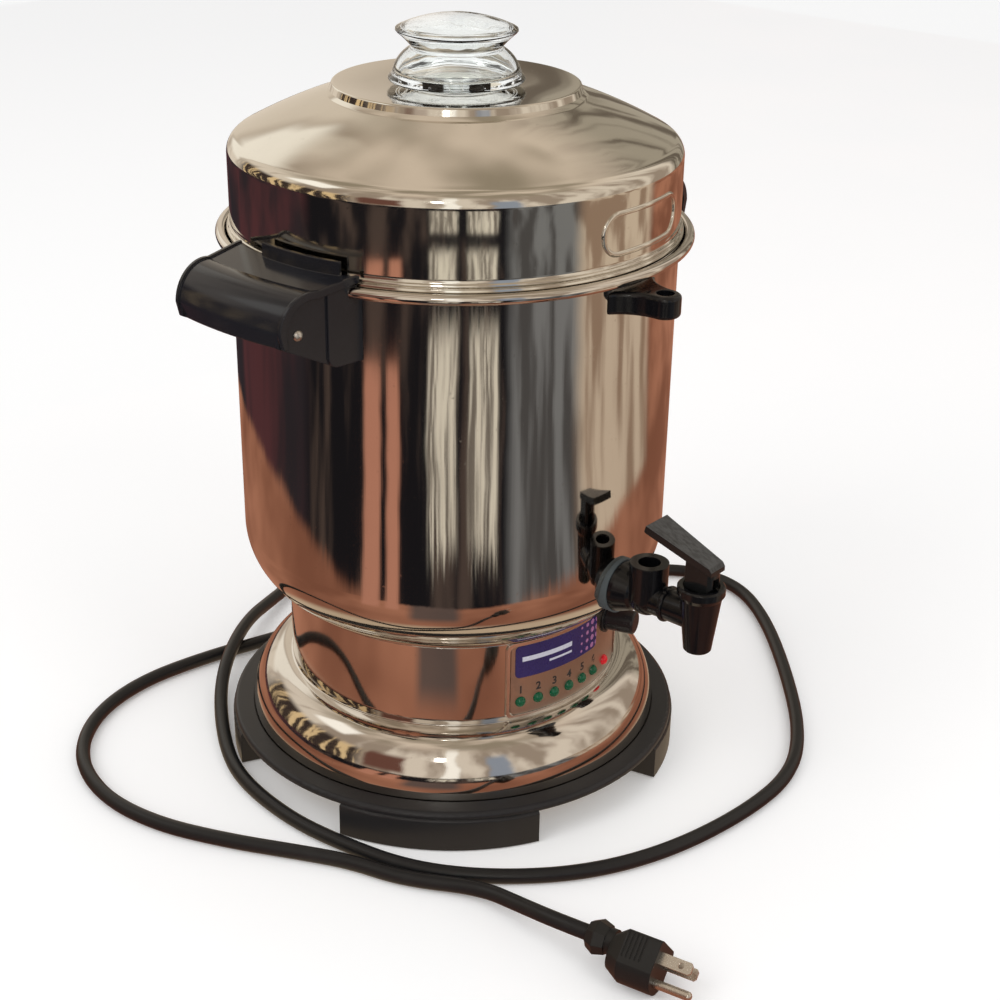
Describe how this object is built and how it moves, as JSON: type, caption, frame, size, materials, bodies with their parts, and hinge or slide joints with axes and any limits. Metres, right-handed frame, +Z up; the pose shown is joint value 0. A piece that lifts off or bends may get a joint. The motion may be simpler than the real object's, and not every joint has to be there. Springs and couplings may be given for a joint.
{
  "type": "coffee urn",
  "caption": "Polished steel coffee urn on a waisted pedestal, with lift-off lid and percolator, scoop handles, lever tap, indicator panel and mains cord.",
  "frame": {"origin": "on the urn's axis, at the level of the undersides of its rubber foot pads", "axes": "+Z up along the vessel's axis; the tap and its spout point along -Y; the handles lie along +X and -X"},
  "size_m": [0.4817, 0.4945, 0.4429],
  "materials": {
    "vessel_steel": "polished stainless steel, mirror bright",
    "pedestal_steel": "polished stainless steel, mirror bright",
    "lid_steel": "polished stainless steel, mirror bright",
    "basket_steel": "satin stainless steel",
    "plate_steel": "zinc plated sheet",
    "screw_steel": "bright zinc plated",
    "nickel": "nickel plated contact metal",
    "aluminium": "plain mill finish",
    "base_plastic": "black moulded phenolic, soft sheen",
    "handle_plastic": "black glossy phenolic",
    "tap_plastic": "black glossy plastic",
    "lever_plastic": "black moulded plastic, worn on top",
    "button_plastic": "black glossy plastic",
    "washer_rubber": "grey silicone",
    "pad_rubber": "black rubber",
    "seal_silicone": "pale translucent silicone",
    "cord_rubber": "black vinyl sheath",
    "plug_rubber": "black moulded vinyl",
    "knob_glass": "clear pressed glass",
    "panel_metal": "satin plate with a faint grain",
    "panel_trim": "bright edge trim",
    "label_film": "blue printed film",
    "green_lens": "green tinted lens",
    "red_lens": "red tinted lens",
    "board": "green circuit board with parts",
    "white_ceramic": "off-white heat-proof moulding"
  },
  "bodies": {
    "urn": {"vessel": "vessel_steel", "pedestal": "pedestal_steel", "base_ring": "base_plastic", "foot_pads": "pad_rubber", "bottom_plate": "plate_steel", "plate_screws": "screw_steel", "heat_plate": "aluminium", "heating_element": "plate_steel", "well_heater": "aluminium", "element_clamp": "plate_steel", "tie_rod": "screw_steel", "tie_nuts": "screw_steel", "thermostats": "white_ceramic", "thermal_fuse": "nickel", "terminal_block": "white_ceramic", "led_carrier": "base_plastic", "control_board": "board", "panel_frame": "panel_trim", "panel_plate": "panel_metal", "panel_label": "label_film", "green_lenses": "green_lens", "red_lens": "red_lens", "button_bezel": "base_plastic", "power_switch": "base_plastic", "right_handle": "handle_plastic", "left_handle": "handle_plastic", "right_handle_bracket": "plate_steel", "left_handle_bracket": "plate_steel", "handle_screws": "screw_steel", "gauge_guide": "tap_plastic", "tap_washer": "washer_rubber", "tap_elbow": "tap_plastic", "tap_gasket": "seal_silicone", "tap_nut": "screw_steel", "tap_coupling": "tap_plastic", "spout_body": "tap_plastic", "tap_bonnet": "tap_plastic", "valve_spring": "screw_steel", "strain_relief": "plug_rubber", "power_cord": "cord_rubber", "plug_body": "plug_rubber", "plug_blades": "nickel", "ground_pin": "nickel"},
    "percolator": {"pump_stem": "basket_steel", "basket": "basket_steel", "basket_spreader": "basket_steel"},
    "lid": {"lid": "lid_steel", "lid_knob": "knob_glass", "knob_retainer": "base_plastic"},
    "tap_stem": {"tap_stem": "base_plastic", "seat_cup": "seal_silicone", "lever_pin": "screw_steel"},
    "tap_lever": {"tap_lever": "lever_plastic"},
    "power_button": {"power_button": "button_plastic"}
  },
  "joints": [
    {"name": "percolator_lift", "type": "slide", "parent": "urn", "child": "percolator", "axis": [0, 0, 1], "range_m": [0, 0.26]},
    {"name": "lid_lift", "type": "slide", "parent": "percolator", "child": "lid", "axis": [0, 0, 1], "range_m": [0, 0.12]},
    {"name": "tap_lever_tip", "type": "hinge", "parent": "tap_stem", "child": "tap_lever", "pos_m": [0, -0.18, 0.1658], "axis": [1, 0, 0], "range_deg": [0, 60]},
    {"name": "tap_stem_lift", "type": "slide", "parent": "urn", "child": "tap_stem", "axis": [0, 0, 1], "range_m": [0, 0.004], "stiffness_N_per_m": 100, "springref_m": -0.003, "deforming": ["valve_spring"]},
    {"name": "button_press", "type": "slide", "parent": "urn", "child": "power_button", "axis": [-0.2924, 0.9563, 0], "range_m": [0, 0.0035], "stiffness_N_per_m": 400, "springref_m": -0.002}
  ],
  "couplings": [
    {"joint": "tap_lever_tip", "follows": "tap_stem_lift", "rad_per_m": 261.7}
  ]
}
